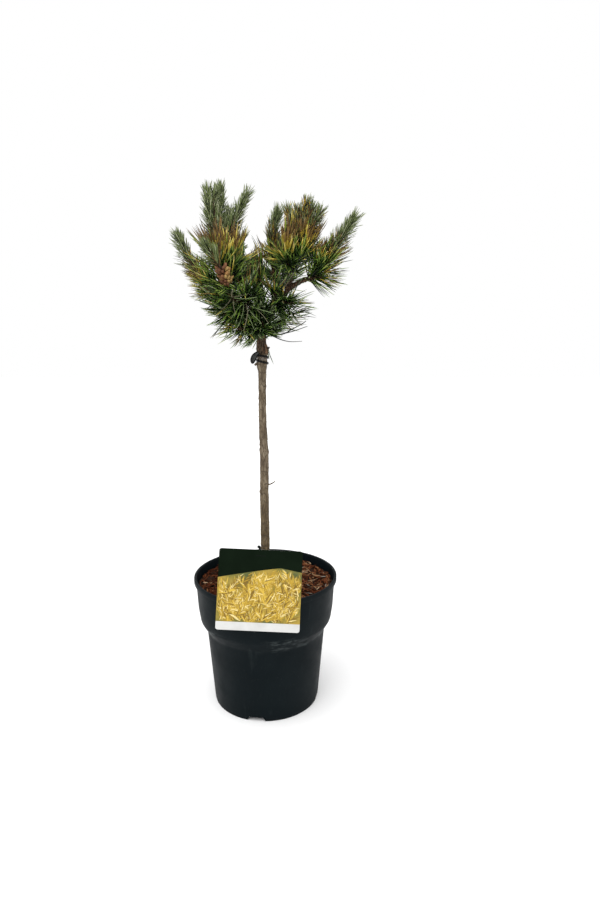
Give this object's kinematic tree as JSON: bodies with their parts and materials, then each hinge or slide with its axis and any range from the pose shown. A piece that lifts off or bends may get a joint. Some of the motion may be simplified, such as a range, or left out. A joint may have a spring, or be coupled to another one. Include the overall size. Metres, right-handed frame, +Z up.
{
  "type": "mugo pine in a nursery pot",
  "caption": "Young mugo pine grafted as a half standard: bare stem, open needled crown, black nursery pot with bark mulch, tie and blank hang tag.",
  "frame": {"origin": "centre of the pot's flat underside, on the pot's axis", "axes": "+Z up along the trunk, -Y towards the side that the hang tag is on, +X to the right of it"},
  "size_m": [0.2852, 0.2421, 0.8131],
  "materials": {
    "pot_plastic": "matte black moulded plastic",
    "bark_mulch": "shredded bark",
    "bark": "rough bark",
    "tie_rubber": "satin",
    "tag_card": "printed sheet with a semi-gloss face",
    "strap_plastic": "satin",
    "needles": "waxy needles"
  },
  "bodies": {
    "root": {"pot": "pot_plastic", "soil": "bark_mulch", "trunk": "bark", "tie": "tie_rubber", "tag": "tag_card", "tag_strap": "strap_plastic", "bough_left": "bark", "bough_right": "bark", "bough_far_right": "bark", "bough_back_left": "bark", "bough_back_right": "bark", "bough_middle": "bark", "mass_tall_left": "needles", "mass_front_left": "needles", "mass_far_left": "needles", "mass_inner_left": "needles", "mass_inner_right": "needles", "mass_low_left": "needles", "mass_low_front": "needles", "mass_low_right": "needles", "mass_low_back": "needles", "mass_centre": "needles", "mass_middle": "needles", "mass_right": "needles", "mass_far_right": "needles", "mass_back_left": "needles", "mass_back_right": "needles"}
  },
  "joints": []
}
